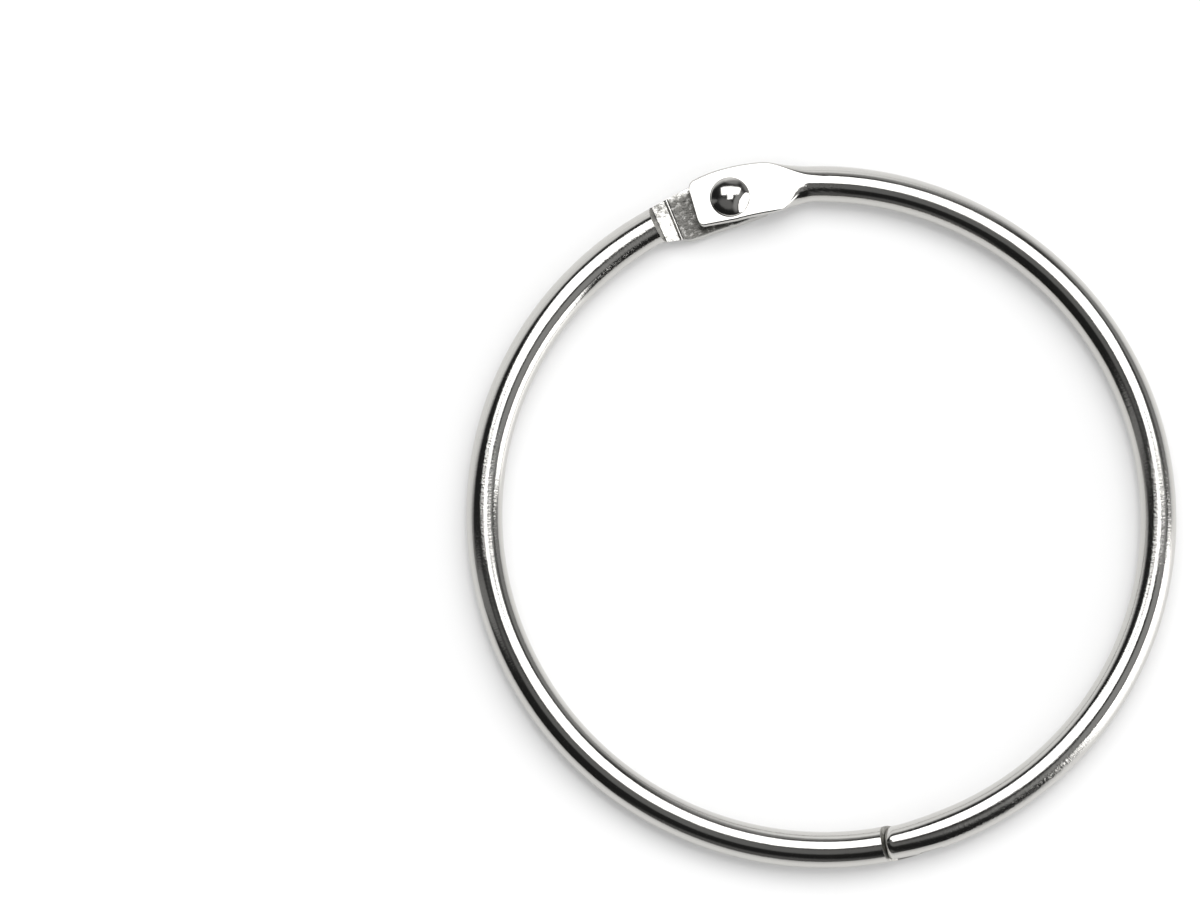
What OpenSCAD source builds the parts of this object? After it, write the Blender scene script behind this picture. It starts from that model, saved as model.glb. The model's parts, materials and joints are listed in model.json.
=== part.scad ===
// Hinged book ring: two like stamped halves of round wire that lap at both ends.
// One lap is a pair of flattened paddles that turn on a rivet. The other is a pair of
// hooked tips that snap together. The ring lies flat in XY with its hinge on +Y and its
// snap on -Y. Z is up, and z = 0 is the surface that it lies on. Millimetres.

/* [Ring] */
// Inside diameter of the closed ring
ring_id = 51; // [40:1:76]
// Diameter of the round wire
wire_d = 2.9; // [2.7:0.1:3.2]
// Swing of the upper half away from closed, in degrees
swing = 0; // [0:1:155]

/* [Hinge paddle] */
// Rivet centre to the square end of the paddle
paddle_end = 2.95; // [2.7:0.05:3.2]
// Centre line of the wire to the outer edge of the pressed face
paddle_out = 1.93; // [1.8:0.01:2.1]
// Centre line of the wire to the inner edge of the pressed face
paddle_in = 2.07; // [1.9:0.01:2.2]
// Centre line of the wire to the rivet, which stands inside it
rivet_in = 0.32; // [0.2:0.01:0.4]
// How much further in the lower paddle stands than the upper one
lower_offset = 0.2; // [0:0.01:0.25]
// Depth of the pressed face below the crest of the wire
press_depth = 0.1; // [0.05:0.01:0.2]
// Swell of the flanks past the pressed face
flank_swell = 0.45; // [0.35:0.01:0.5]
// How far the flanks lean back in towards the seat
flank_lean = 0.42; // [0.3:0.01:0.45]
// Radius of the paddle's outer corner
corner_out = 0.5; // [0.3:0.05:0.6]
// Radius of the paddle's inner corner
corner_in = 0.4; // [0.2:0.05:0.5]

/* [Hinge neck] */
// Rivet centre to where the pressed face starts to narrow
neck_start = 3.2; // [3:0.1:3.4]
// Rivet centre to where the pressed face has died out
neck_end = 7.8; // [7.4:0.1:8.2]
// Rivet centre to the small riser at the end of the seat
seat_len = 4.8; // [4.6:0.05:5]
// Length of the ledge between the riser and the shoulder
ledge_len = 1.2; // [1:0.05:1.4]
// Depth of the ledge below the seat
ledge_drop = 0.16; // [0.1:0.01:0.25]
// Length over which the hinge shoulder rises to the crest
shoulder_run = 0.55; // [0.4:0.05:0.7]

/* [Snap closure] */
// Length of the lap between the two shoulders
lap_len = 5.8; // [5.4:0.1:6.2]
// Height of the hook's wall
hook_step = 0.6; // [0.4:0.05:0.8]
// Length over which the shoulder drops
snap_wall_run = 0.3; // [0.2:0.05:0.4]
// Height of the shoulder's foot above the middle of the wire
snap_foot = 0.6; // [0.5:0.05:0.8]
// Length of the ramp from that foot to the hook's groove
ramp_len = 0.85; // [0.7:0.05:1]
// Length by which the tip stops short of the shoulder
tip_short = 0.4; // [0.3:0.02:0.5]
// Narrowing of each side of the tip
tip_taper = 0.14; // [0.05:0.01:0.25]
// Radius of the tip's inner corner
tip_corner_in = 0.9; // [0.6:0.05:1]
// Radius of the tip's outer corner
tip_corner_out = 0.45; // [0.3:0.05:0.6]

/* [Rivet] */
// Diameter of the domed head
head_d = 3.2; // [2.8:0.1:3.4]
// Height of the domed head
head_h = 0.75; // [0.6:0.05:0.9]
// Diameter of the shank
shank_d = 1.7; // [1.5:0.1:1.8]
// Diameter of the set tail
tail_d = 2.2; // [2.1:0.1:2.5]
// Height of the set tail
tail_h = 0.3; // [0.2:0.05:0.4]
// Depth of the dimple in the tail
dimple_depth = 0.18; // [0.05:0.01:0.2]

/* [Fits] */
// Gap between the halves where they lap
lap_gap = 0.04; // [0.03:0.01:0.06]
// Radial clearance of the shank in its holes
shank_fit = 0.03; // [0.02:0.01:0.05]
// Gap between the head and the upper paddle
head_gap = 0.03; // [0.02:0.01:0.05]

/* [Hidden] */
wire_r = wire_d / 2;
ring_r = (ring_id + wire_d) / 2;
rivet_r = ring_r - rivet_in;
paddle_t = wire_r - press_depth;
mid_h = paddle_t + tail_h;
nickel = [0.80, 0.80, 0.78];
rivet_steel = [0.74, 0.74, 0.73];

// Facets in each flank of a cross-section below and above its bend, and points inside
// its seat line
low_steps = 7;
high_steps = 5;
flank_steps = low_steps + high_steps;
seat_points = 3;
section_points = 2 * (flank_steps + 1) + seat_points;
// Where the low facets end, in degrees up from the bottom, and as a share of a short flank
low_angle = 80;
low_share = 0.85;
// Half of the small flat that every cross-section keeps at the bottom
crest_flat = 0.1;
// A flank that meets no seat stops this many degrees above the middle of the wire
top_angle = 80;
// A lofted end is this much thinner than the bent wire, and runs this far inside it
tuck = 0.995;
tuck_core = 0.97;
tuck_len = 0.3;
// The stamping die is turned by this share of the bend where it cuts the seat
die_share = 0.6;
// Slopes with which the pressed face narrows from the rivet to the paddle's end
end_curve_out = 0.045;
end_slope_in = 0.085;
// Bow of the outer edge on the way from the rivet to the neck
neck_bow = 0.015;
// The flanks meet the round wire in this much shorter a length than the pressed face
flank_lead = 0.4;
flank_lag = 1;
// Rounding of the back of the snap tip
tip_round = 0.16;
// Length over which the riser and the hook's wall stand up
riser_run = 0.08;
hook_run = 0.1;
// Wire left round before each stamped end
hinge_join = 9.6;
snap_join = 1;

// Smooth step from 0 at a to 1 at b
function ease(x, a, b) = let (t = min(1, max(0, (x - a) / (b - a)))) t * t * (3 - 2 * t);
function mix(a, b, t) = a + (b - a) * t;
function spread(a, b, n) = [for (i = [0:n - 1]) mix(a, b, i / n)];
// Depth cut off at distance x from an end whose corner has radius r
function corner_cut(x, r) = x < r ? r - sqrt(max(0, r * r - pow(r - x, 2))) : 0;

// ---- Cross-section of a stamped end ----
// f: half-width of the pressed face at each side [outer, inner]
// s: half-width at the middle of the wire, k: lean of the flank, both [outer, inner]
// h: depth of the pressed face, seat: height of the seat above the middle of the wire
function seat_angle(h, seat) =
    seat <= 0 ? acos(min(1, -seat / h)) : 90 + min(top_angle, asin(min(1, seat / wire_r)));

function flank_point(a, f, s, k, h) =
    a <= 90 ? [f + (s - f) * sin(a) - k * (1 - cos(a)), -h * cos(a)]
            : [(s - k) * cos(a - 90), wire_r * sin(a - 90)];

// Height of the round wire above its middle, at t across it
function crest(t, s, k) =
    let (half = t > 0 ? s[0] - k[0] : s[1] - k[1])
    wire_r * sqrt(max(0, 1 - pow(t / half, 2)));

// Angles of a flank's points: the low ones stay in place along the wire wherever they can
function flank_angles(top) =
    let (low = min(low_angle, low_share * top))
    concat(spread(0, low, low_steps), spread(low, top, high_steps), [top]);

function section(f, s, k, h, seat) =
    let (angles = flank_angles(seat_angle(h, seat)),
         right = [for (a = angles) flank_point(a, f[0], s[0], k[0], h)],
         left = [for (i = [flank_steps:-1:0])
                    let (p = flank_point(angles[i], f[1], s[1], k[1], h)) [-p[0], p[1]]],
         a = right[flank_steps][0],
         b = left[0][0],
         across = [for (i = [1:seat_points])
                      let (t = mix(a, b, i / (seat_points + 1)))
                      [t, min(max(seat, right[flank_steps][1]), crest(t, s, k))]])
    seat <= 0 ? concat(right, [for (p = across) [p[0], seat]], left)
              : concat(right, across, left);

// Section carried to a point of the ring: bend is the place on the ring in degrees from
// the hinge, turn is the direction of the section's outward side, slide moves it straight
// on past the hinge
function place(points, bend, turn, slide = 0) =
    [for (p = points)
        [-ring_r * sin(bend) - p[0] * sin(turn) - slide,
         ring_r * cos(bend) + p[0] * cos(turn),
         p[1]]];

module loft(sections) {
    n = section_points;
    last = (len(sections) - 1) * n;
    polyhedron(
        points = [for (s = sections) each s],
        faces = concat(
            [[for (j = [n - 1:-1:0]) j]],
            [[for (j = [0:n - 1]) last + j]],
            [for (i = [0:len(sections) - 2], j = [0:n - 1])
                let (a = i * n + j, b = i * n + (j + 1) % n)
                each [[a, b, b + n], [a, b + n, a + n]]]));
}

function degrees_along(x) = x / ring_r * 180 / PI;

// ---- Hinge end: w is the distance from the rivet towards this half's own wire ----
function hinge_seat(w) =
    lookup(w, [
        [seat_len, -lap_gap / 2],
        [seat_len + riser_run, -lap_gap / 2 - ledge_drop],
        [seat_len + ledge_len, -lap_gap / 2 - ledge_drop],
        [seat_len + ledge_len + shoulder_run, wire_r]]);

// How much of the paddle is left in the flanks, which narrow a little before the face does
function flank_share(w) = 1 - ease(w, neck_start - flank_lead, neck_end - flank_lag);

function hinge_section(w) =
    let (past = max(0, -w),
         end = w + paddle_end,
         round_scale = w > hinge_join ? tuck_core : (w > neck_end ? tuck : 1),
         face_share = 1 - ease(w, neck_start, neck_end),
         out_cut = end_curve_out * past * past + corner_cut(end, corner_out),
         in_cut = end_slope_in * past + corner_cut(end, corner_in),
         out = paddle_out - neck_bow * pow(max(0, w), 2),
         f_out = mix(crest_flat, out, face_share) - out_cut,
         f_in = mix(crest_flat, paddle_in, face_share) - in_cut,
         s_out = mix(wire_r, out + flank_swell, flank_share(w)) - out_cut,
         s_in = mix(wire_r, paddle_in + flank_swell, flank_share(w)) - in_cut,
         lean = flank_lean * (1 - ease(w, neck_start - flank_lead, seat_len + ledge_len)),
         h = mix(paddle_t, wire_r, ease(w, seat_len, neck_end)))
    section([f_out, f_in] * round_scale, [s_out, s_in] * round_scale, [lean, lean],
            h * round_scale, hinge_seat(w) * round_scale);

hinge_stations = concat(
    [for (i = [0:4]) -paddle_end + corner_out * (1 - cos(i * 18))],
    spread(-paddle_end + corner_out, neck_start - flank_lead, 9),
    spread(neck_start - flank_lead, seat_len, 7),
    [seat_len, seat_len + riser_run],
    spread(seat_len + riser_run * 3, seat_len + ledge_len, 3),
    spread(seat_len + ledge_len, seat_len + ledge_len + shoulder_run, 8),
    spread(seat_len + ledge_len + shoulder_run, hinge_join, 7),
    [hinge_join, hinge_join + tuck_len]);

// offset moves the paddle in, and dies out along the neck
module hinge_end(offset) {
    loft([for (w = hinge_stations)
        let (bend = degrees_along(max(0, w)),
             share = mix(die_share, 1, ease(w, seat_len + ledge_len, hinge_join)),
             moved = [for (p = hinge_section(w)) p - [offset * flank_share(w), 0]])
        place(moved, bend, bend * share, min(0, w))]);
}

// ---- Snap end: s is the distance from this half's shoulder towards its tip ----
ramp_end = snap_wall_run + ramp_len;
snap_profile = [
    [0, wire_r],
    [snap_wall_run, snap_foot],
    [ramp_end, -hook_step / 2],
    [(lap_len - hook_run + lap_gap) / 2, -hook_step / 2],
    [(lap_len + hook_run + lap_gap) / 2, hook_step / 2],
    [lap_len - ramp_end, hook_step / 2],
    [lap_len - snap_wall_run - lap_gap, -snap_foot],
    [lap_len - lap_gap, -wire_r]];
tip_end = lap_len - tip_short;

function snap_section(s) =
    let (end = tip_end - s,
         round_scale = s < 0 ? (s < -snap_join ? tuck_core : tuck) : 1,
         taper = tip_taper * ease(s, 0, lap_len),
         s_out = wire_r - taper - corner_cut(end, tip_corner_out),
         s_in = wire_r - taper - corner_cut(end, tip_corner_in),
         h = wire_r - tip_round * pow(1 - min(1, end / tip_corner_in), 2),
         seat = s < 0 ? wire_r : lookup(s, snap_profile) - lap_gap / 2)
    section([crest_flat, crest_flat] * round_scale, [s_out, s_in] * round_scale, [0, 0],
            h * round_scale, seat * round_scale);

snap_stations = concat(
    [-snap_join - tuck_len, -snap_join, -snap_join / 3],
    spread(0, snap_wall_run, 5),
    spread(snap_wall_run, ramp_end, 4),
    spread(ramp_end, snap_profile[3][0], 3),
    [snap_profile[3][0], snap_profile[4][0]],
    [snap_profile[4][0] + hook_run],
    [for (i = [0:9]) tip_end - tip_corner_in * (1 - sin(i * 10))]);

module snap_end() {
    loft([for (s = snap_stations)
        let (bend = 180 - degrees_along(lap_len / 2 - s))
        place(snap_section(s), bend, bend)]);
}

// ---- One stamped half, seat side up, with its middle plane at z = 0 ----
module half_ring(offset = 0) {
    arc_start = degrees_along(hinge_join);
    arc_end = 180 - degrees_along(lap_len / 2 + snap_join);
    difference() {
        union() {
            rotate([0, 0, 90 + arc_start])
                rotate_extrude(angle = arc_end - arc_start, $fn = 144)
                    translate([ring_r, 0]) circle(r = wire_r, $fn = 40);
            hinge_end(offset);
            snap_end();
        }
        translate([0, rivet_r, -wire_d])
            cylinder(r = shank_d / 2 + shank_fit, h = 2 * wire_d, $fn = 48);
    }
}

// Left half, seat side up. It carries the rivet.
module lower_half() {
    color(nickel) translate([0, 0, mid_h]) half_ring(lower_offset);
}

// Right half: the same stamping turned over about the line from hinge to snap
module upper_half() {
    color(nickel)
        translate([0, rivet_r, mid_h])
            rotate([0, 0, swing])
                rotate([0, 180, 0])
                    translate([0, -rivet_r, 0]) half_ring();
}

// Domed rivet through both paddles, with its tail set under the lower one
module hinge_rivet() {
    dome_r = (pow(head_d / 2, 2) + pow(head_h, 2)) / (2 * head_h);
    head_z = paddle_t + head_gap;
    tail_z = -paddle_t - tail_h;
    dimple_r = 1.2;
    color(rivet_steel)
        translate([0, rivet_r, mid_h])
            difference() {
                union() {
                    intersection() {
                        translate([0, 0, head_z + head_h - dome_r]) sphere(r = dome_r, $fn = 96);
                        translate([0, 0, head_z]) cylinder(d = head_d, h = head_h + 1, $fn = 72);
                    }
                    translate([0, 0, tail_z])
                        cylinder(d = shank_d, h = head_z - tail_z + head_h / 2, $fn = 48);
                    translate([0, 0, tail_z])
                        cylinder(d1 = tail_d - tail_h, d2 = tail_d, h = tail_h, $fn = 48);
                }
                translate([0, 0, tail_z + dimple_depth - dimple_r]) sphere(r = dimple_r, $fn = 48);
            }
}

lower_half();
upper_half();
hinge_rivet();
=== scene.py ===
"""Hinged book ring: two like stamped halves of round wire, a riveted hinge, a hooked closure.

Sizes are in millimetres and become metres where a mesh is written. The ring lies flat in XY
with its hinge on +Y and its closure on -Y. Along a half, w runs from the rivet to the tip.
Across the wire, t points out of the ring and z points up from the wire's middle plane.
"""
import json
import logging
import math
from dataclasses import dataclass, field
from enum import Enum
from typing import Any

import bpy
import numpy as np
from mathutils import Matrix, Vector


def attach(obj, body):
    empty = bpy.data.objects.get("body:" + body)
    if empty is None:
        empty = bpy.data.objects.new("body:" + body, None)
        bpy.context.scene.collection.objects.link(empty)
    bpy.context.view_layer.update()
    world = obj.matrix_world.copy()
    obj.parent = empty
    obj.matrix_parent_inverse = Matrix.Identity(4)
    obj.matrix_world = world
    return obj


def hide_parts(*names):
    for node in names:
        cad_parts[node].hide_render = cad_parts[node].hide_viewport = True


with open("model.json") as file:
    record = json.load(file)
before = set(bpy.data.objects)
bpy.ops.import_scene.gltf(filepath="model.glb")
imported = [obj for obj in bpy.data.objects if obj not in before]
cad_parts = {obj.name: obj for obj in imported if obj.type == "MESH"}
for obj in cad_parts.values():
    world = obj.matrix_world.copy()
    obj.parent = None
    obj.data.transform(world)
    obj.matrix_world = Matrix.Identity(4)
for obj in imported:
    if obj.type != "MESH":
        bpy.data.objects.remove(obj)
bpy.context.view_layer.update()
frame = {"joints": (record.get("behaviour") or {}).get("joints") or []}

MM = 0.001
RING_R = 26.95
SHARP_DEG = 38.0  # folds steeper than this stay crisp
THIN = 1e-4  # least width of a flank
TURN = 0.01  # least half angle of a strip of faces, in degrees
Span = tuple[float, float]  # low and high end of a smooth step, or of a stretch
Colour = tuple[float, float, float]
Points = tuple[np.ndarray, np.ndarray]  # widths and heights, one row for each section
log = logging.getLogger("book_ring")


# ---- Arithmetic on arrays ----

def ease(x: np.ndarray, a: float, b: float) -> np.ndarray:
    """Smooth step from 0 at a to 1 at b."""
    t = np.clip((x - a) / (b - a), 0.0, 1.0)
    return t * t * (3.0 - 2.0 * t)


def mix(a: Any, b: Any, t: Any) -> Any:
    """Straight blend from a at t = 0 to b at t = 1."""
    return a + (b - a) * t


def corner_cut(x: np.ndarray, r: float) -> np.ndarray:
    """Depth that a corner of radius r takes off a side, at distance x from the end."""
    x = np.clip(x, 0.0, r)
    return r - np.sqrt(r * r - (r - x) ** 2)


def soft_profile(x: np.ndarray, corners: list[tuple[float, float]], reach: float) -> np.ndarray:
    """Height of a polyline with rounded corners.

    The height is the mean of the polyline over a window of 2 * reach, which turns each corner
    into a short parabola.

    Args:
        x: Places along the line.
        corners: The polyline's corners as (place, height).
        reach: Half the width of the window.

    Returns:
        The height at each place.
    """
    at, height = np.array(corners).T
    window = np.linspace(-reach, reach, 9)
    return np.interp(x[..., None] + window, at, height).mean(-1)


def soft_min(a: np.ndarray, b: np.ndarray, blend: float) -> np.ndarray:
    """The smaller of a and b, with the corner between them rounded over about blend."""
    gap = a - b
    return a - 0.5 * (gap + np.sqrt(gap ** 2 + blend ** 2))


def put_in_scene(name: str, data: bpy.types.ID, matrix: Matrix | None = None) -> bpy.types.Object:
    """Adds an object at the origin, or where the matrix puts it."""
    made = bpy.data.objects.new(name, data)
    made.matrix_world = matrix or Matrix()
    bpy.context.scene.collection.objects.link(made)
    return made


# ---- Shader arithmetic ----

class Signal:
    """One output socket, on which shader maths is written as plain expressions."""

    def __init__(self, shader: "Shader", socket: bpy.types.NodeSocket) -> None:
        """Keeps the socket with the shader that owns it."""
        self.shader = shader
        self.socket = socket

    def _math(self, operation: str, *values: Any) -> "Signal":
        """One Math node over the values."""
        return self.shader.node("ShaderNodeMath", {"operation": operation}, values)

    def __add__(self, other: Any) -> "Signal":
        """Sum."""
        return self._math("ADD", self, other)

    def __sub__(self, other: Any) -> "Signal":
        """Difference."""
        return self._math("SUBTRACT", self, other)

    def __rsub__(self, other: Any) -> "Signal":
        """Difference, with the signal taken off."""
        return self._math("SUBTRACT", other, self)

    def __mul__(self, other: Any) -> "Signal":
        """Product."""
        return self._math("MULTIPLY", self, other)

    def __gt__(self, other: Any) -> "Signal":
        """1 where the signal is the greater, and 0 elsewhere."""
        return self._math("GREATER_THAN", self, other)

    __radd__ = __add__
    __rmul__ = __mul__

    def within(self) -> "Signal":
        """The value held between 0 and 1."""
        return self._math("MINIMUM", self._math("MAXIMUM", self, 0.0), 1.0)

    def ramp(self, low: float, high: float, start: float = 0.0, end: float = 1.0) -> "Signal":
        """Smooth step from start at low to end at high."""
        settings = {"interpolation_type": "SMOOTHSTEP"}
        return self.shader.node("ShaderNodeMapRange", settings, (self, low, high, start, end))


class Shader:
    """A node tree that is filled by plain calls."""

    def __init__(self, tree: bpy.types.NodeTree) -> None:
        """Empties the tree."""
        self.tree = tree
        tree.nodes.clear()

    def node(self, kind: str, settings: dict[str, Any] | None = None,
             inputs: tuple | list | dict = (), output: int | str = 0) -> Signal:
        """Adds a node, sets it up and links it.

        Args:
            kind: The node's type.
            settings: Its properties, which are set first.
            inputs: Values or signals for its sockets, in order or by name.
            output: The socket that is returned.

        Returns:
            The chosen output.
        """
        node = self.tree.nodes.new(kind)
        for key, value in (settings or {}).items():
            setattr(node, key, value)
        pairs = inputs.items() if isinstance(inputs, dict) else enumerate(inputs)
        for key, value in pairs:
            if isinstance(value, Signal):
                self.tree.links.new(value.socket, node.inputs[key])
            elif value is not None:
                node.inputs[key].default_value = value
        found = node.outputs[output] if len(node.outputs) else None
        return Signal(self, found)

    def dot(self, place: Signal, axis: Vector) -> Signal:
        """How far a place lies along an axis."""
        settings = {"operation": "DOT_PRODUCT"}
        return self.node("ShaderNodeVectorMath", settings, (place, axis), "Value")

    def attribute(self, name: str, output: str = "Fac") -> Signal:
        """A value that the mesh stores at its points."""
        return self.node("ShaderNodeAttribute", {"attribute_name": name}, (), output)

    def stretched(self, place: Signal, scale: tuple[float, float, float]) -> Signal:
        """A place multiplied by a scale of its own on each axis."""
        return self.node("ShaderNodeVectorMath", {"operation": "MULTIPLY"}, (place, scale))

    def noise(self, place: Signal, scale: float, detail: float = 2.0,
              rough: float = 0.5) -> Signal:
        """Noise of mean 0.5 at a place."""
        inputs = {"Vector": place, "Scale": scale, "Detail": detail, "Roughness": rough}
        return self.node("ShaderNodeTexNoise", {}, inputs)

    def tint(self, share: Signal, low: tuple | Signal, high: tuple) -> Signal:
        """Colour that goes from low to high with share."""
        start = low if isinstance(low, Signal) else (*low, 1.0)
        inputs = {"Factor": share, 6: start, 7: (*high, 1.0)}
        return self.node("ShaderNodeMix", {"data_type": "RGBA"}, inputs, 2)

    def shown(self) -> Signal:
        """1 where a thing is seen, straight or in a mirror, and 0 where it only gives light."""
        path = self.node("ShaderNodeLightPath").socket.node
        seen, mirrored, through = (Signal(self, path.outputs[f"Is {kind} Ray"])
                                   for kind in ("Camera", "Glossy", "Transmission"))
        return (seen + mirrored + through).within()

    def output(self, kind: str, surface: Signal) -> None:
        """Links the surface to an output node of that kind."""
        self.node(kind, {}, {"Surface": surface})


def new_material(name: str) -> tuple[bpy.types.Material, Shader]:
    """An empty node material and its shader."""
    material = bpy.data.materials.new(name)
    material.use_nodes = True
    return material, Shader(material.node_tree)


# ---- Finishes ----

@dataclass(frozen=True)
class BrightPlate:
    """Bright nickel over drawn wire, with a rough skin where the blank was sheared.

    Depths are in millimetres and grains are counts of cells in a millimetre. A stretch below 1
    draws the grain out on one axis. Each span holds the two ends of a smooth step, and
    drift_range the values that its step goes from and to.
    """

    name: str
    clean: Colour = (0.645, 0.635, 0.61)
    dull: Colour = (0.50, 0.49, 0.46)
    torn_tone: Colour = (0.20, 0.196, 0.184)
    gloss: float = 0.115
    sheared_gloss: float = 0.34
    scuffed_gloss: float = 0.03
    cross_grain: float = 6.5
    cross_stretch: float = 0.22
    cross_depth: float = 0.0085
    draw_grain: float = 7.0
    draw_stretch: float = 0.05
    draw_depth: float = 0.0016
    pit_grain: float = 4.8
    pit_depth: float = 0.028
    pit_span: Span = (0.45, 0.62)
    pit_tone: float = 0.6
    torn_grain: float = 3.2
    torn_stretch: float = 0.75
    torn_depth: float = 0.10
    torn_weight: float = 0.95
    torn_contrast: float = 3.2
    torn_span: Span = (0.25, 0.95)
    torn_onset: float = 0.2
    drift_grain: float = 0.35
    drift_span: Span = (0.35, 0.65)
    drift_range: Span = (0.55, 1.15)
    pressed_calm: float = 0.75

    def material(self) -> bpy.types.Material:
        """Builds the plating.

        Fine ridges run across the wire, where the rolls gripped it, and fainter draw lines
        run along it. Both come from noise on the straightened wire, stretched one way or the
        other. Scuffed places gain pits, sheared faces a coarse torn grain that darkens them,
        and pressed faces lose most of the ridges.

        Returns:
            The material.
        """
        material, shader = new_material(self.name)
        flow = shader.attribute("flow", "Vector")
        scuffed = shader.attribute("scuffed")
        sheared = shader.attribute("sheared")
        pressed = shader.attribute("pressed")
        across = shader.stretched(flow, (1.0, self.cross_stretch, self.cross_stretch))
        along = shader.stretched(flow, (self.draw_stretch, 1.0, 1.0))
        ridges = shader.noise(across, self.cross_grain, 3.0, 0.7)
        lines = shader.noise(along, self.draw_grain, 3.0)
        drift = shader.noise(flow, self.drift_grain, 2.0)
        pits = shader.noise(flow, self.pit_grain, 3.0, 0.6)
        squashed = shader.stretched(flow, (self.torn_stretch, 1.0, 1.0))
        tears = shader.noise(squashed, self.torn_grain, 4.0, 0.65)

        grip = drift.ramp(*self.drift_span, *self.drift_range) + scuffed
        grip = grip * (1.0 - pressed * self.pressed_calm)
        height = (ridges * grip * self.cross_depth + lines * self.draw_depth) * (1.0 - sheared)
        height = height + pits * scuffed * self.pit_depth + tears * sheared * self.torn_depth
        depth = {"Strength": 1.0, "Distance": MM, "Height": height}

        worn = (scuffed * pits.ramp(*self.pit_span) * self.pit_tone).within()
        dark = sheared * self.torn_weight + (tears - 0.5) * self.torn_contrast
        dark = dark.ramp(*self.torn_span) * (1.0 - pressed) * sheared.ramp(0.0, self.torn_onset)
        colour = shader.tint(dark, shader.tint(worn, self.clean, self.dull), self.torn_tone)
        gloss = self.gloss + sheared * (self.sheared_gloss - self.gloss)
        surface = shader.node("ShaderNodeBsdfPrincipled", {}, {
            "Base Color": colour, "Metallic": 1.0,
            "Roughness": gloss + scuffed * self.scuffed_gloss,
            "Normal": shader.node("ShaderNodeBump", {}, depth)})
        shader.output("ShaderNodeOutputMaterial", surface)
        return material


@dataclass(frozen=True)
class PaperSweep:
    """White paper that the ring lies on. A little of its own light keeps it clean."""

    colour: Colour = (0.82, 0.82, 0.82)
    gloss: float = 0.22
    lift: float = 0.10

    def material(self) -> bpy.types.Material:
        """The paper's material."""
        material, shader = new_material("paper_sweep")
        sheet = shader.node("ShaderNodeBsdfPrincipled", {}, {
            "Base Color": (*self.colour, 1.0), "Roughness": self.gloss})
        glow = shader.node("ShaderNodeEmission", {}, {"Strength": self.lift})
        lifted = shader.node("ShaderNodeAddShader", {}, (sheet, glow))
        mixed = shader.node("ShaderNodeMixShader", {}, (shader.shown(), sheet, lifted))
        shader.output("ShaderNodeOutputMaterial", mixed)
        return material


# ---- Meshes ----

@dataclass
class Skin:
    """Points, faces and point values of one piece while it is built."""

    points: list[np.ndarray] = field(default_factory=list)
    flow: list[np.ndarray] = field(default_factory=list)
    sheared: list[np.ndarray] = field(default_factory=list)
    scuffed: list[np.ndarray] = field(default_factory=list)
    pressed: list[np.ndarray] = field(default_factory=list)
    faces: list[np.ndarray] = field(default_factory=list)
    count: int = 0

    def add(self, points: np.ndarray, flow: np.ndarray, sheared: Any = 0.0,
            scuffed: Any = 0.0, pressed: Any = 0.0) -> np.ndarray:
        """Adds an array of points and returns their numbers in the same layout."""
        shape = points.shape[:-1]
        total = int(np.prod(shape))
        self.points.append(points.reshape(-1, 3))
        self.flow.append(flow.reshape(-1, 3))
        for kept, given in ((self.sheared, sheared), (self.scuffed, scuffed),
                            (self.pressed, pressed)):
            kept.append(np.broadcast_to(given, shape).reshape(-1))
        self.count += total
        return np.arange(self.count - total, self.count).reshape(shape)

    def quads(self, number: np.ndarray, keep: np.ndarray | None = None) -> None:
        """Faces between the neighbours of a grid of point numbers, rows first."""
        made = np.stack([number[:-1, :-1], number[1:, :-1], number[1:, 1:], number[:-1, 1:]], -1)
        self.faces.append(made[keep] if keep is not None else made.reshape(-1, 4))

    def fan(self, ring: np.ndarray, middle: int) -> None:
        """Triangles from a closed ring of point numbers to a middle point."""
        after = np.roll(ring, -1)
        self.faces.append(np.stack([ring, after, np.full_like(ring, middle)], -1))

    def build(self, name: str, material: bpy.types.Material) -> bpy.types.Object:
        """Writes the mesh, without the points that no face uses.

        Args:
            name: The piece's name.
            material: Its finish.

        Returns:
            The object, at the origin, in metres.
        """
        mesh = bpy.data.meshes.new(name)
        used = np.unique(np.concatenate([block.ravel() for block in self.faces]))
        number = np.zeros(self.count, int)
        number[used] = np.arange(len(used))
        corners = [face for block in self.faces for face in number[block].tolist()]
        mesh.from_pydata((np.concatenate(self.points)[used] * MM).tolist(), [], corners)
        for label, kind, key in (("flow", "FLOAT_VECTOR", "vector"), ("sheared", "FLOAT", "value"),
                                 ("scuffed", "FLOAT", "value"), ("pressed", "FLOAT", "value")):
            stored = np.concatenate(getattr(self, label))[used].astype(np.float32).ravel()
            mesh.attributes.new(label, kind, "POINT").data.foreach_set(key, stored)
        mesh.shade_smooth()
        mesh.set_sharp_from_angle(angle=math.radians(SHARP_DEG))
        mesh.materials.append(material)
        return put_in_scene(name, mesh)


# ---- Stamped halves ----

class Side(Enum):
    """Which half a stamping is: the lower lies seat side up, the upper is turned over on it."""

    LOWER = "lower_stamping"
    UPPER = "upper_stamping"


@dataclass(frozen=True)
class Scuff:
    """A worn place on a half: middle and half-length along it, angle round the wire, strength."""

    w: float
    long: float
    angle: float
    wide: float
    strength: float
    core_long: float = 0.3
    core_wide: float = 0.4


LOWER_SCUFFS = (Scuff(34.0, 9.0, 185.0, 40.0, 0.5), Scuff(9.0, 5.0, 205.0, 45.0, 0.5))
UPPER_SCUFFS = (Scuff(75.0, 9.0, 38.0, 34.0, 0.8), Scuff(7.0, 3.0, -26.0, 14.0, 1.0),
                Scuff(49.5, 8.0, 5.0, 60.0, 0.6))


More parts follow.
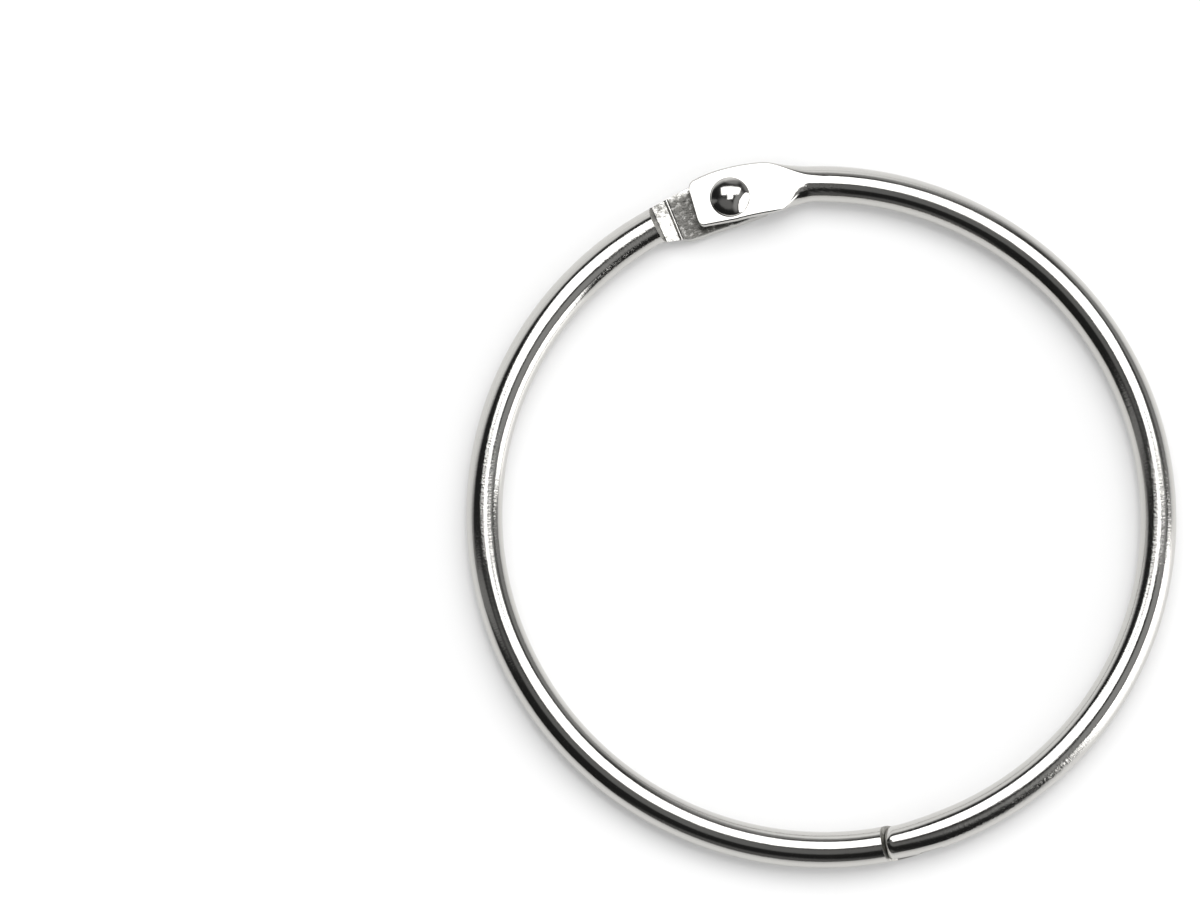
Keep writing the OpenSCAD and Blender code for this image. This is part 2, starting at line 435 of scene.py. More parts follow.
@dataclass(frozen=True)
class Tears:
    """How torn the sheared faces are, from 0 to 1, and at what distances that changes."""

    outer_calm: float = 0.7
    outer_span: Span = (0.75, 0.1)
    riser_span: Span = (0.22, 0.1)
    riser_run: float = 0.02
    ledge: float = 0.32
    ledge_gain: float = 0.3
    ledge_span: Span = (0.3, 1.6)
    shoulder: float = 0.95
    shoulder_span: Span = (-0.05, 0.1)
    snap: float = 0.9
    end: float = 0.6


@dataclass(frozen=True)
class HingePaddle:
    """Sizes of the pressed end that takes the rivet, with the neck that leads to the wire."""

    end: float = 2.95
    out: float = 1.93
    inside: float = 2.07
    depth: float = 1.35
    swell: float = 0.45
    lean: float = 0.42
    corner_out: float = 0.5
    corner_in: float = 0.4
    neck_start: float = 3.2
    neck_end: float = 7.8
    flank_lead: float = 0.4
    flank_lag: float = 1.0
    bow: float = 0.015
    seat: float = 4.8
    ledge: float = 1.2
    ledge_drop: float = 0.16
    shoulder: float = 0.55
    riser: float = 0.08
    curve_out: float = 0.045
    slope_in: float = 0.085
    scarp_start: float = 3.9
    scarp_end: float = 6.4
    die_share: float = 0.6
    join: float = 9.6
    bore: float = 0.88

    @property
    def ledge_end(self) -> float:
        """Distance from the rivet to where the shoulder starts to rise."""
        return self.seat + self.ledge

    def flank_share(self, w: np.ndarray) -> np.ndarray:
        """How much of the paddle is left in the flanks along the neck."""
        return 1.0 - ease(w, self.neck_start - self.flank_lead, self.neck_end - self.flank_lag)


@dataclass(frozen=True)
class SnapHook:
    """Sizes of the hooked tip that laps over its partner."""

    lap: float = 5.8
    short: float = 0.4
    step: float = 0.6
    wall: float = 0.3
    foot: float = 0.6
    ramp: float = 0.85
    hook_run: float = 0.1
    taper: float = 0.14
    corner_in: float = 0.9
    corner_out: float = 0.45
    back_round: float = 0.2
    back_run: float = 0.55


@dataclass(frozen=True)
class Outline:
    """Section sizes at each station along a half, each as a column."""

    face_out: np.ndarray
    face_in: np.ndarray
    side_out: np.ndarray
    side_in: np.ndarray
    lean: np.ndarray
    depth: np.ndarray
    seat: np.ndarray
    plain: np.ndarray


@dataclass
class StampedHalf:
    """One stamped half, from its riveted paddle round to its hooked tip.

    Each span is a stretch of the wire over which a value changes, measured from the rivet, or
    for formed_span from the snap's shoulder. wire_share is the half angle in degrees of the
    bottom and of the top strip of faces on the plain wire.
    """

    side: Side
    ring_r: float
    mid_h: float
    finish: BrightPlate
    rivet_r: float
    offset: float = 0.0
    scuffs: tuple[Scuff, ...] = ()
    wire_r: float = 1.45
    paddle: HingePaddle = field(default_factory=HingePaddle)
    hook: SnapHook = field(default_factory=SnapHook)
    gap: float = 0.04
    face_cells: int = 24
    flank_cells: int = 24
    bore_rows: float = 1.55
    bore_columns: int = 6
    bore_rings: int = 5
    edge_reach: float = 0.03
    wire_share: float = 43.0
    top_angle: float = 80.0
    turn_share: float = 0.6
    crowd_share: float = 0.5
    tears: Tears = Tears()
    fine_step: float = 0.016
    step_growth: float = 0.16
    hinge_step: float = 0.10
    wide_step: float = 0.34
    widen_span: Span = (7.0, 12.0)
    start_span: Span = (5.0, 12.0)
    plain_span: Span = (8.0, 12.0)
    formed_span: Span = (-5.0, -1.5)
    press_fade: float = 2.0

    @property
    def rivet_t(self) -> float:
        """Width at which the rivet's axis crosses the sections."""
        return self.rivet_r - self.ring_r + self.offset

    @property
    def length(self) -> float:
        """Distance from the rivet to the hooked tip's end, along the wire."""
        return self.snap_start + self.tip_end

    @property
    def snap_start(self) -> float:
        """Distance from the rivet to the snap's shoulder, along the wire."""
        return math.pi * self.ring_r - self.hook.lap / 2

    @property
    def tip_end(self) -> float:
        """Distance from the snap's shoulder to the tip's end."""
        return self.hook.lap - self.hook.short

    def hinge_seat(self, w: np.ndarray) -> np.ndarray:
        """Height of the seat, riser, ledge and shoulder at the hinge."""
        p = self.paddle
        low = -self.gap / 2 - p.ledge_drop
        return soft_profile(w, [
            (p.seat, -self.gap / 2),
            (p.seat + p.riser, low),
            (p.ledge_end, low),
            (p.ledge_end + p.shoulder, self.wire_r)], self.edge_reach)

    def snap_seat(self, s: np.ndarray) -> np.ndarray:
        """Height of the hooked lap face, from its shoulder to its tip."""
        h, half = self.hook, self.gap / 2
        ramp_end = h.wall + h.ramp
        mid = (h.lap + self.gap) / 2
        return soft_profile(s, [
            (-0.01, 2 * self.wire_r), (0.0, self.wire_r),
            (h.wall, h.foot - half),
            (ramp_end, -h.step / 2 - half),
            (mid - h.hook_run / 2, -h.step / 2 - half),
            (mid + h.hook_run / 2, h.step / 2 - half),
            (h.lap - ramp_end, h.step / 2 - half),
            (h.lap - h.wall - self.gap, -h.foot - half),
            (h.lap - self.gap, -self.wire_r - half)], self.edge_reach)

    def stations(self) -> np.ndarray:
        """Places along the half, close together near each formed edge.

        The spacing grows in proportion to the distance from the nearest edge, between a
        finest and a widest step, and the places cut its running sum into equal parts.

        Returns:
            The places, from the paddle's end to the hooked tip.
        """
        p, h = self.paddle, self.hook
        along = np.linspace(-p.end, self.length, 40000)
        s = self.snap_start
        mid = s + (h.lap + self.gap) / 2
        edges = [-p.end, p.seat, p.seat + p.riser, p.ledge_end, p.ledge_end + p.shoulder,
                 s, s + h.wall, s + h.wall + h.ramp,
                 mid - h.hook_run / 2, mid + h.hook_run / 2,
                 s + h.lap - h.wall - h.ramp, s + h.lap - h.wall, self.length]
        near = np.abs(along[:, None] - np.array(edges)).min(1)
        step = np.clip(self.fine_step + self.step_growth * near, 0.0, self.wide_step)
        widest = mix(self.hinge_step, self.wide_step, ease(along, *self.widen_span))
        density = 1.0 / np.minimum(step, widest)
        between = 0.5 * (density[1:] + density[:-1]) * np.diff(along)
        total = np.concatenate([[0.0], np.cumsum(between)])
        return np.interp(np.linspace(0.0, total[-1], int(total[-1]) + 1), total, along)

    def outline(self, w: np.ndarray) -> Outline:
        """Section sizes along the half, from the paddle's outline, the neck and the hook.

        Args:
            w: Places along the half, as a column.

        Returns:
            The sizes at each place.
        """
        p, h = self.paddle, self.hook
        s = w - self.snap_start
        to_end, to_tip, past = w + p.end, self.tip_end - s, np.maximum(0.0, -w)
        cut_out = p.curve_out * past ** 2 + corner_cut(to_end, p.corner_out)
        cut_in = p.slope_in * past + corner_cut(to_end, p.corner_in)
        taper = h.taper * ease(s, 0.0, h.lap)
        tip_out = taper + corner_cut(to_tip, h.corner_out)
        tip_in = taper + corner_cut(to_tip, h.corner_in)
        face_out = 1.0 - ease(w, p.neck_start, p.neck_end)
        face_in = 1.0 - ease(w, p.scarp_start, p.scarp_end)
        flank = p.flank_share(w)
        out = p.out - p.bow * np.maximum(0.0, w) ** 2
        tip_back = h.back_round * (1.0 - np.clip(to_tip / h.back_run, 0.0, 1.0)) ** 2
        return Outline(
            face_out=np.maximum(out * face_out - cut_out, 0.0),
            face_in=np.maximum(p.inside * face_in - cut_in, 0.0),
            side_out=mix(self.wire_r, out + p.swell, flank) - cut_out - tip_out,
            side_in=mix(self.wire_r, p.inside + p.swell, flank) - cut_in - tip_in,
            lean=p.lean * (1.0 - ease(w, p.neck_start - p.flank_lead, p.ledge_end)),
            depth=mix(p.depth, self.wire_r, ease(w, p.seat, p.neck_end)) - tip_back,
            seat=np.minimum(self.hinge_seat(w), self.snap_seat(s)),
            plain=ease(w, *self.plain_span) * (1.0 - ease(s, *self.formed_span)))

    def flank(self, o: Outline, outer: bool, start: np.ndarray) -> Points:
        """One flank of every section, from the edge of the pressed face up to the seat.

        Below the middle plane the flank is a quarter ellipse that leaves the pressed face
        flat, and above it the flank is the upper half of the wire. The points share out the
        turn of the surface, so that a tight edge gets as many as a wide curve.

        Args:
            o: The section sizes.
            outer: Whether this is the flank on the outside of the ring.
            start: Angle from the lowest point at which the flank starts, as a column.

        Returns:
            Width and height of the points, one row for each section.
        """
        face, side = (o.face_out, o.side_out) if outer else (o.face_in, o.side_in)
        lean, depth, seat = o.lean, o.depth, o.seat
        quarter = np.pi / 2
        limit = np.radians(mix(self.top_angle, 90.0 - self.wire_share, o.plain))
        low_top = np.arccos(np.clip(-seat / depth, 0.0, 1.0))
        high_top = quarter + np.minimum(limit, np.arcsin(np.clip(seat / self.wire_r, 0.0, 1.0)))
        top = np.where(seat <= 0.0, low_top, high_top)
        wide, high = np.maximum(side - face, THIN), side - lean

        def skewed(a: np.ndarray, low: tuple, up: tuple) -> np.ndarray:
            """Angle with its tangent scaled, by one ratio up to a quarter and one past it."""
            below = np.arctan2(low[0] * np.sin(a), low[1] * np.cos(a))
            above = np.arctan2(up[0] * np.sin(a - quarter), up[1] * np.cos(a - quarter))
            return np.where(a <= quarter, below, quarter + above)

        share = np.linspace(0.0, 1.0, self.flank_cells + 1)[None, :]
        by_angle = mix(start, top, share)
        facing = mix(*(skewed(a, (depth, wide), (high, self.wire_r)) for a in (start, top)), share)
        by_turn = skewed(facing, (wide, depth), (self.wire_r, high))
        a = mix(by_angle, by_turn, self.turn_share)
        low_t = face + wide * np.sin(a) - lean * (1.0 - np.cos(a))
        high_t = high * np.cos(a - quarter)
        t = np.where(a <= quarter, low_t, high_t)
        z = np.where(a <= quarter, -depth * np.cos(a), self.wire_r * np.sin(a - quarter))
        return t, z

    def pressed_face(self, o: Outline, start: np.ndarray) -> Points:
        """The lowest part of every section, from the inner flank across to the outer one.

        It is flat over the pressed face and follows the flank's quarter ellipse past it. On
        the plain wire it spans the same angle on both sides of the lowest point.

        Args:
            o: The section sizes.
            start: Angle at which the flanks start, as a column.

        Returns:
            Width and height of the points, one row for each section.
        """
        share = np.linspace(-1.0, 1.0, self.face_cells + 1)[None, :]
        outer = share > 0.0
        face = np.where(outer, o.face_out, o.face_in)
        wide = np.maximum(np.where(outer, o.side_out, o.side_in) - face, THIN)
        reach = face + wide * np.sin(start)
        across = reach * np.sin(np.abs(share) * start) / np.sin(start)
        rise = np.clip((across - face) / wide, 0.0, 1.0)
        fall = np.sqrt(1.0 - rise ** 2)
        out = np.where(across > face, face + wide * rise, across)
        return np.sign(share) * (out - o.lean * (1.0 - fall)), -o.depth * fall

    def seat_face(self, o: Outline, right: Points, left: Points) -> Points:
        """The upper part of every section, from the outer flank back to the inner one.

        It is level at the seat's height, or follows the round wire where the seat lies above
        it. On a stamped end its points crowd towards both edges.

        Args:
            o: The section sizes.
            right: Width and height of the outer flank.
            left: Width and height of the inner flank, with its width positive.

        Returns:
            Width and height of the points, one row for each section.
        """
        a, b = right[0][:, -1:], -left[0][:, -1:]
        share = np.linspace(1.0, -1.0, self.face_cells + 1)[None, :]
        begin = np.radians(self.wire_share * o.plain + TURN)
        even = np.sin(share * begin) / np.sin(begin)
        crowded = np.sin(share * np.pi / 2)
        across = mix(mix(even, crowded, self.crowd_share), even, o.plain)
        t = (a + b) / 2 + (a - b) / 2 * across
        half = np.where(t > 0.0, o.side_out, o.side_in) - o.lean
        crest = self.wire_r * np.sqrt(np.clip(1.0 - (t / half) ** 2, 0.0, 1.0))
        raised = np.minimum(np.maximum(o.seat, right[1][:, -1:]), crest)
        return t, np.where(o.seat <= 0.0, o.seat, raised)

    def sections(self, w: np.ndarray) -> Points:
        """Closed sections along the half: pressed face, outer flank, seat, inner flank."""
        o = self.outline(w[:, None])
        start = np.radians(TURN + self.wire_share * ease(w, *self.start_span))[:, None]
        low = self.pressed_face(o, start)
        right = self.flank(o, True, start)
        left = self.flank(o, False, start)
        top = self.seat_face(o, right, left)
        t = np.concatenate([low[0], right[0][:, 1:-1], top[0], -left[0][:, -2:0:-1]], 1)
        z = np.concatenate([low[1], right[1][:, 1:-1], top[1], left[1][:, -2:0:-1]], 1)
        return t, z

    def placed(self, w: np.ndarray, t: np.ndarray, z: np.ndarray) -> np.ndarray:
        """Points carried to the ring, and turned over if this is the upper half.

        A place w past the rivet lies at the bend w / ring_r. Its outward side is turned by
        the same bend, or by a share of it where the die was set straighter. Before the rivet
        the half runs straight on. The upper half is turned half round about the line from
        hinge to closure.

        Args:
            w: Places along the half.
            t: Widths.
            z: Heights from the wire's middle plane.

        Returns:
            The points in the ring's own frame.
        """
        p = self.paddle
        bend = np.maximum(0.0, w) / self.ring_r
        turn = bend * mix(p.die_share, 1.0, ease(w, p.ledge_end, p.join))
        t = t - self.offset * p.flank_share(w)
        x = -self.ring_r * np.sin(bend) - t * np.sin(turn) - np.minimum(0.0, w)
        y = self.ring_r * np.cos(bend) + t * np.cos(turn)
        sign = 1.0 if self.side is Side.LOWER else -1.0
        return np.stack([sign * x, y, self.mid_h + sign * z], -1)

    def tear_share(self, w: np.ndarray, t: np.ndarray) -> np.ndarray:
        """How torn each point of the seats is.

        The hinge's seat is smoother on its outer side and just before the riser, and so is its
        ledge. The shoulder and the snap's seat are torn nearly all over.

        Args:
            w: Places along the half.
            t: Widths.

        Returns:
            The share, from 0 to 1, of use only on the seat's own points.
        """
        p, tears = self.paddle, self.tears
        outer = ease(t, *(p.out - back for back in tears.outer_span))
        by_riser = ease(w, *(p.seat - back for back in tears.riser_span))
        seat = (1.0 - tears.outer_calm * outer) * (1.0 - by_riser)
        ledge = tears.ledge + tears.ledge_gain * ease(t, *tears.ledge_span)
        floor = mix(seat, ledge, ease(w, p.seat, p.seat + tears.riser_run))
        rise = ease(w, *(p.ledge_end + past for past in tears.shoulder_span))
        hinge = mix(floor, tears.shoulder, rise) * (w < p.ledge_end + p.shoulder)
        return hinge + tears.snap * (w > self.snap_start)

    def worn(self, w: np.ndarray, t: np.ndarray, z: np.ndarray) -> np.ndarray:
        """How scuffed each point is, as the strongest of the worn places that reach it."""
        angle = np.degrees(np.arctan2(t, -z))
        found = np.zeros(np.broadcast(w, t).shape)
        for scuff in self.scuffs:
            along = 1.0 - ease(np.abs(w - scuff.w), scuff.core_long * scuff.long, scuff.long)
            turned = np.abs((angle - scuff.angle + 180.0) % 360.0 - 180.0)
            around = 1.0 - ease(turned, scuff.core_wide * scuff.wide, scuff.wide)
            found = np.maximum(found, scuff.strength * along * around)
        return found

    def build(self) -> bpy.types.Object:
        """The half, as one closed skin with a true bore for the rivet."""
        skin = Skin()
        w = self.stations()
        t, z = self.sections(w)
        wide = np.broadcast_to(w[:, None], t.shape)
        cells, flanks = self.face_cells, self.flank_cells
        first_seat = cells + flanks
        column = np.arange(t.shape[1])
        on_seat = (column >= first_seat) & (column <= first_seat + cells)
        sheared = self.tear_share(wide, t) * on_seat
        fade = ease(w, self.paddle.neck_end - self.press_fade, self.paddle.join)
        pressed = np.outer(1.0 - fade, column <= cells)
        pressed = np.maximum(pressed, on_seat * (wide > self.snap_start))
        number = skin.add(self.placed(wide, t, z), np.stack([wide, t, z], -1), sheared,
                          self.worn(wide, t, z), pressed)
        ring = np.concatenate([number, number[:, :1]], 1)
        rows = np.flatnonzero(np.abs(w) < self.bore_rows)
        low, high = rows[0], rows[-1]
        keep = np.ones((len(w) - 1, t.shape[1]), bool)
        edge, seat_edge = (self.window(t[rows], first) for first in (0, first_seat))
        for first, last in (edge, seat_edge):
            keep[low:high, first:last] = False
        skin.quads(ring, keep)
        self.bore(skin, number, (low, high), edge, seat_edge)
        self.cap(skin, number[0], w[0], t[0], z[0], True)
        self.cap(skin, number[-1], w[-1], t[-1], z[-1], False)
        return skin.build(self.side.value, self.finish.material())

    def window(self, t: np.ndarray, first: int) -> tuple[int, int]:
        """Columns between which a face is left open round the rivet's hole.

        Args:
            t: Widths of the sections that the hole crosses.
            first: The face's first column.

        Returns:
            First and last column, as many columns apart in either face.
        """
        face = t[:, first:first + self.face_cells + 1]
        to_axis = np.abs(face - self.rivet_t).mean(0)
        middle = first + int(to_axis.argmin())
        return middle - self.bore_columns, middle + self.bore_columns

    def bore(self, skin: Skin, number: np.ndarray, rows: tuple[int, int],
             face: tuple[int, int], seat: tuple[int, int]) -> None:
        """Cuts the rivet's hole.

        The window left in each face is closed by a collar that runs straight from the
        window's rim to the hole's circle, and the two circles are joined by the wall.

        Args:
            skin: The half's skin.
            number: The numbers of its points, one row for each station.
            rows: First and last station of the window.
            face: First and last column of the window in the pressed face.
            seat: The same in the seat, which runs the other way.
        """
        low, high = rows

        def rim(start: int, end: int) -> np.ndarray:
            """Numbers of the points round a window, once round from its first corner."""
            step = 1 if end > start else -1
            return np.concatenate([
                number[low:high, start], number[high, start:end:step],
                number[high:low:-1, end], number[low, end:start:-step]])

        points, flow = np.concatenate(skin.points), np.concatenate(skin.flow)
        axis = np.array([0.0, self.rivet_r])
        centre, level = np.array([0.0, self.rivet_t, 0.0]), np.array([1.0, 1.0, 0.0])
        outer = rim(*face)
        outward = points[outer][:, :2] - axis
        unit = outward / np.linalg.norm(outward, axis=1, keepdims=True)
        share = np.linspace(0.0, 1.0, self.bore_rings + 1)[1:, None, None]
        circles = []
        for around, flip in ((outer, False), (rim(seat[1], seat[0]), True)):
            circle = points[around]
            circle[:, :2] = axis + unit * self.paddle.bore
            reach = (flow[around] - centre) * level
            inward = reach * (1.0 - self.paddle.bore / np.linalg.norm(reach, axis=1))[:, None]
            made = skin.add(mix(points[around][None], circle[None], share),
                            flow[around][None] - inward[None] * share, 0.0, 0.0, 1.0)
            strip = np.concatenate([around[None], made])
            strip = np.concatenate([strip, strip[:, :1]], 1)
            skin.quads(strip if flip else strip[:, ::-1])
            circles.append(made[-1])
        wall = np.stack(circles)
        skin.quads(np.concatenate([wall, wall[:, :1]], 1)[:, ::-1])

    def cap(self, skin: Skin, rim: np.ndarray, w: float, t: np.ndarray, z: np.ndarray,
            at_hinge: bool) -> None:
        """Closes an end with a grid of faces.

        Each inner point blends the four sides of the section: the sum of the two straight
        blends between opposite sides, less the blend of the four corners.

        Args:
            skin: The half's skin.
            rim: Numbers of the end section's points.
            w: Place of the end.
            t: Widths of the end section.
            z: Heights of the end section.
            at_hinge: Whether this is the paddle's end.
        """
        m, n = self.face_cells, self.flank_cells
        sides = (np.arange(m + 1), m + np.arange(n + 1), (2 * m + n - np.arange(m + 1)),
                 (2 * m + 2 * n - np.arange(n + 1)) % (2 * m + 2 * n))
        place = np.stack([t, z], -1)
        bottom, right, top, left = (place[side] for side in sides)
        u = np.linspace(0.0, 1.0, m + 1)[None, :, None]
        v = np.linspace(0.0, 1.0, n + 1)[:, None, None]
        inner = (mix(bottom[None], top[None], v) + mix(left[:, None], right[:, None], u)
                 - mix(mix(bottom[0], bottom[-1], u), mix(top[0], top[-1], u), v))
        number = np.empty((n + 1, m + 1), int)
        number[0], number[:, -1], number[-1], number[:, 0] = (rim[side] for side in sides)
        core = inner[1:-1, 1:-1]
        flow = np.concatenate([np.full_like(core[..., :1], w), core], -1)
        points = self.placed(flow[..., 0], flow[..., 1], flow[..., 2])
        number[1:-1, 1:-1] = skin.add(points, flow, self.tears.end, 0.0, 1.0)
        skin.quads(number[::-1] if at_hinge else number)


# ---- Rivet ----

@dataclass
class Rivet:
    """Domed rivet through both paddles, with its tail set under the lower one.

    Wear has left a small flat on the dome: its slope, where it starts from the axis, its
    direction and how softly it meets the dome. Each wave, as size, count and start, leaves
    the head slightly out of round.
    """

    rivet_r: float
    mid_h: float
    finish: BrightPlate = BrightPlate("rivet_nickel")
    face_h: float = 1.35
    head_d: float = 3.2
    head_h: float = 0.75
    dome_r: float = 2.75
    head_edge: float = 0.3
    flat_slope: float = 36.0
    flat_start: float = 0.75
    flat_turn: float = -40.0
    flat_blend: float = 0.1
    head_only: float = 0.2
    waves: tuple[tuple[float, int, float], ...] = ((0.012, 2, 0.7), (0.008, 3, 2.0))
    bevel: float = 0.03
    scuffed: float = 0.1
    pressed: float = 0.9
    head_gap: float = 0.03
    shank_d: float = 1.7
    tail_d: float = 2.2
    tail_h: float = 0.3
    dimple: float = 0.18
    dimple_r: float = 1.2
    around: int = 160
    bowl_cells: int = 10
    dome_cells: int = 40
    edge_cells: int = 12

    def profile(self) -> np.ndarray:
        """Radius and height from the middle of the tail's dimple, round to the dome's top.

        The dome is a shallow arc that turns into a tighter edge. The dimple is a shallow
        arc too, and the tail widens towards the paddle.

        Returns:
            The profile's points in order.
        """
        head_r, shank_r, tail_r = self.head_d / 2, self.shank_d / 2, self.tail_d / 2
        base, floor = self.face_h + self.head_gap, -self.face_h - self.tail_h
        rim = math.sqrt(self.dimple_r ** 2 - (self.dimple_r - self.dimple) ** 2)
        reach = math.asin(rim / self.dimple_r)
        a = np.linspace(0.0, reach, self.bowl_cells)
        bowl = np.stack([self.dimple_r * np.sin(a),
                         floor + self.dimple - self.dimple_r * (1.0 - np.cos(a))], -1)
        foot = tail_r - self.tail_h / 2
        begin = math.asin((head_r - self.head_edge) / (self.dome_r - self.head_edge))
        b = np.linspace(begin, 0.0, self.dome_cells)
        top = base + self.head_h
        dome = np.stack([self.dome_r * np.sin(b), top - self.dome_r * (1.0 - np.cos(b))], -1)
        c = np.linspace(np.pi / 2, begin, self.edge_cells)[:-1]
        edge = dome[0] + self.head_edge * np.stack(
            [np.sin(c) - np.sin(begin), np.cos(c) - np.cos(begin)], -1)
        corners = [(foot, floor), (tail_r, floor + self.tail_h), (shank_r, floor + self.tail_h),
                   (shank_r, base), (head_r - self.bevel, base), (head_r, base + self.bevel)]
        return np.concatenate([bowl, np.array(corners), edge, dome])

    def build(self) -> bpy.types.Object:
        """The rivet, as one closed surface of revolution."""
        skin = Skin()
        line = self.profile()
        body = line[1:-1]
        angle = np.linspace(0.0, 2 * np.pi, self.around, endpoint=False)[None, :]
        lean = np.clip((body[:, 1:] - self.face_h) / self.head_h, 0.0, 1.0)
        wave = sum(size * np.sin(count * angle + start) for size, count, start in self.waves)
        r = body[:, :1] * (1.0 + lean * wave)
        z = np.broadcast_to(body[:, 1:], r.shape)
        reach = r * np.cos(angle - math.radians(self.flat_turn)) - self.flat_start
        flat_h = line[-1, 1] - self.flat_start ** 2 / (2 * self.dome_r)
        flat = flat_h - reach * math.tan(math.radians(self.flat_slope))
        z = np.where(lean > self.head_only, soft_min(z, flat, self.flat_blend), z)
        flow = np.stack([r * np.cos(angle), r * np.sin(angle), z], -1)
        middle = np.array([0.0, self.rivet_r, self.mid_h])
        number = skin.add(flow + middle, flow, 0.0, self.scuffed, self.pressed)
        ring = np.concatenate([number, number[:, :1]], 1)
        skin.quads(ring[:, ::-1])
        for end, at, flip in ((0, line[0], True), (-1, line[-1], False)):
            tip = np.array([[0.0, 0.0, at[1]]])
            pole = skin.add(tip + middle, tip)
            skin.fan(number[end][::-1] if flip else number[end], int(pole[0]))
        return skin.build("rivet", self.finish.material())


# ---- Studio ----

@dataclass(frozen=True)
class Softbox:
    """A soft lamp: where it stands as seen from the ring, its size and its strength.

    The tilt is from straight above, the clock angle from the top of the picture, and the turn
    is about the line to the ring.
    """

    name: str
    tilt: float
    clock: float
    turn: float
    width: float
    height: float
    power: float


@dataclass(frozen=True)
class PaleWall:
    """A soft-edged oval of the surroundings that is lighter than the rest."""

    tilt: float
    clock: float
    wide: float
    high: float
    glow: float


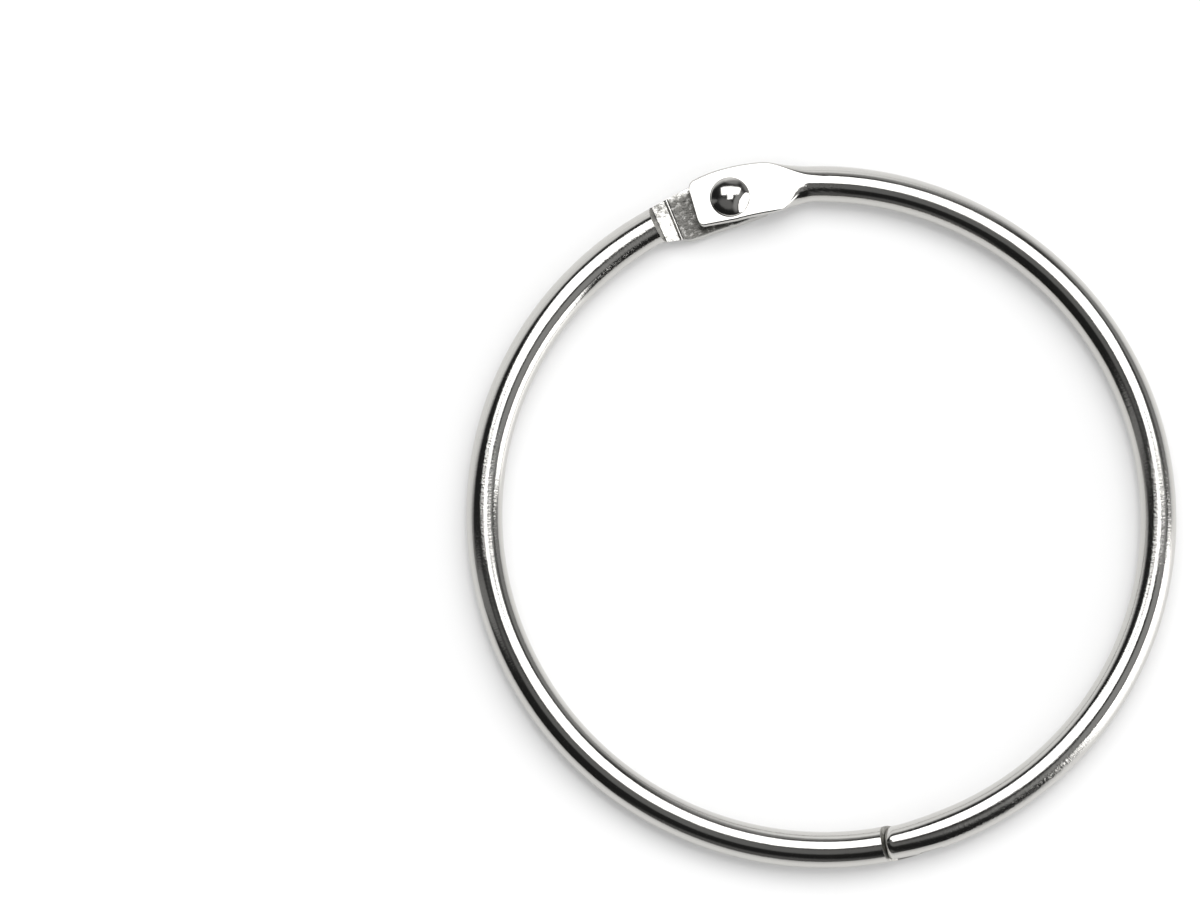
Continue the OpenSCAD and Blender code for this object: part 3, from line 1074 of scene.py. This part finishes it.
@dataclass
class Studio:
    """Paper floor, soft lamps, dim surroundings and the camera.

    Distances are in metres and picture_width is in millimetres at the ring. wall_fade is where
    a pale wall starts and ends to fade, as the square of the distance from its middle.
    """

    mid_h: float
    floor_size: float = 6.0
    distance: float = 1.5
    lamp_distance: float = 1.6
    picture_width: float = 95.854
    frame_px: tuple[int, int] = (1200, 903)
    centre_px: tuple[float, float] = (821.56, 516.02)
    hinge_clock: float = -16.05
    camera_tilt: float = 9.65
    camera_clock: float = 192.2
    sensor: float = 36.0
    clip: Span = (0.01, 20.0)
    wall_fade: Span = (1.5, 0.4)
    dim: float = 0.013
    fill: float = 0.56
    lamps: tuple[Softbox, ...] = (
        Softbox("key_softbox", 28.6, 10.0, 10.0, 1.95, 0.81, 12.6),
        Softbox("top_softbox", 7.2, 28.0, 28.0, 0.54, 0.43, 1.8),
        Softbox("side_softbox", 75.0, 104.0, 0.0, 1.05, 0.88, 8.4),
    )
    walls: tuple[PaleWall, ...] = (
        PaleWall(88.0, 335.0, 58.0, 24.0, 0.85),
        PaleWall(66.0, 8.0, 20.0, 14.0, 0.26),
        PaleWall(80.0, 60.0, 30.0, 20.0, 0.24),
        PaleWall(38.0, 104.0, 30.0, 17.0, 0.30),
        PaleWall(64.0, 264.0, 7.0, 22.0, 0.20),
        PaleWall(20.0, 206.0, 30.0, 16.0, 0.14),
        PaleWall(84.0, 190.0, 26.0, 18.0, 0.09),
    )

    def clock(self, degrees: float) -> Vector:
        """Level direction that points to a clock angle of the picture."""
        a = math.radians(degrees - self.hinge_clock)
        return Vector((math.sin(a), math.cos(a), 0.0))

    def axes(self, tilt: float, clock: float, turn: float) -> tuple[Vector, Vector, Vector]:
        """Axes of something that stands round the ring and faces it.

        Args:
            tilt: Its angle from straight above.
            clock: Its direction, as a clock angle of the picture.
            turn: How far it is turned about the line to the ring.

        Returns:
            The directions away from the ring, across and up.
        """
        lean, roll = math.radians(tilt), math.radians(turn)
        away = Vector((0, 0, math.cos(lean))) + self.clock(clock) * math.sin(lean)
        level = self.clock(clock + 90.0)
        rise = away.cross(level)
        side = level * math.cos(roll) + rise * math.sin(roll)
        return away, side, away.cross(side)

    def build(self) -> None:
        """Makes the floor, the lamps, the surroundings and the camera."""
        self.floor()
        self.world()
        self.camera()
        for lamp in self.lamps:
            self.lamp(lamp)

    def floor(self) -> None:
        """A wide, level sheet of paper at height zero, which meets the rivet's tail."""
        half = self.floor_size / 2
        mesh = bpy.data.meshes.new("paper_sweep")
        corners = [(-half, -half, 0.0), (half, -half, 0.0), (half, half, 0.0), (-half, half, 0.0)]
        mesh.from_pydata(corners, [], [(0, 1, 2, 3)])
        mesh.materials.append(PaperSweep().material())
        put_in_scene("paper_sweep", mesh)

    def world(self) -> None:
        """Dim grey surroundings, which the plating mirrors as its dark bands.

        The paper gets a soft fill from them all round, which the plating doesn't mirror.
        """
        world = bpy.data.worlds.new("dim_studio")
        bpy.context.scene.world = world
        world.use_nodes = True
        shader = Shader(world.node_tree)
        place = shader.node("ShaderNodeTexCoord")
        total = (1.0 - shader.shown()) * self.fill + self.dim
        for wall in self.walls:
            away, side, up = self.axes(wall.tilt, wall.clock, 0.0)
            across, along, ahead = (shader.dot(place, axis) for axis in (side, up, away))
            a = across * (1.0 / math.sin(math.radians(wall.wide)))
            b = along * (1.0 / math.sin(math.radians(wall.high)))
            patch = (a * a + b * b).ramp(*self.wall_fade, 0.0, wall.glow)
            total = total + patch * (ahead > 0.0)
        glow = shader.node("ShaderNodeBackground", {}, {
            "Strength": total, "Color": (1.0, 1.0, 1.0, 1.0)})
        shader.output("ShaderNodeOutputWorld", glow)

    def camera(self) -> None:
        """The camera, aimed so that the ring's middle falls on its place in the picture."""
        lean = math.radians(self.camera_tilt)
        back = Vector((0, 0, math.cos(lean))) + self.clock(self.camera_clock) * math.sin(lean)
        up = self.clock(0.0)
        right = up.cross(back).normalized()
        up = back.cross(right).normalized()
        scale = self.picture_width * MM / self.frame_px[0]
        shift = (right * (self.frame_px[0] / 2 - self.centre_px[0])
                 + up * (self.centre_px[1] - self.frame_px[1] / 2)) * scale
        aim = Vector((0.0, 0.0, self.mid_h * MM)) + shift
        data = bpy.data.cameras.new("camera")
        data.sensor_width = self.sensor
        data.lens = self.sensor * self.distance / (self.picture_width * MM)
        data.clip_start, data.clip_end = self.clip
        turn = Matrix((right, up, back)).transposed().to_4x4()
        at = Matrix.Translation(aim + back * self.distance)
        bpy.context.scene.camera = put_in_scene("camera", data, at @ turn)

    def lamp(self, box: Softbox) -> None:
        """One rectangular lamp that faces the ring, with its width level."""
        away, side, up = self.axes(box.tilt, box.clock, box.turn)
        data = bpy.data.lights.new(box.name, "AREA")
        data.shape = "RECTANGLE"
        data.size, data.size_y, data.energy = box.width, box.height, box.power
        turn = Matrix((side, up, away)).transposed().to_4x4()
        at = Matrix.Translation(away * self.lamp_distance)
        put_in_scene(box.name, data, at @ turn).visible_camera = False


# ---- Assembly ----

def ring_sizes() -> tuple[float, float]:
    """The rivet's distance from the ring's middle and the mid-plane's height, from the joint."""
    hinge = frame["joints"][0]["pos_m"]
    return hinge[1] / MM, hinge[2] / MM


def main() -> None:
    """Builds the studio and the three pieces in order."""
    logging.basicConfig(level=logging.INFO, format="%(name)s: %(message)s")
    rivet_r, mid_h = ring_sizes()
    log.info("rivet at %.3f, middle height %.3f", rivet_r, mid_h)
    bpy.context.scene.view_settings.view_transform = "Standard"
    Studio(mid_h).build()
    plate = BrightPlate("bright_nickel")
    lower = StampedHalf(Side.LOWER, RING_R, mid_h, plate, rivet_r, 0.2, LOWER_SCUFFS)
    upper = StampedHalf(Side.UPPER, RING_R, mid_h, plate, rivet_r, 0.0, UPPER_SCUFFS)
    pieces = (
        (lower, "lower_half", "lower_body", "wire_nickel"),
        (upper, "upper_half", "upper_body", "wire_nickel"),
        (Rivet(rivet_r, mid_h), "hinge_rivet", "lower_body", "rivet_nickel"),
    )
    for maker, node, body, slot in pieces:
        piece = maker.build()
        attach(piece, body)
        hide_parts(node)
        log.info("%s rides on %s with %d faces", piece.name, body, len(piece.data.polygons))


if __name__ == "__main__":
    main()
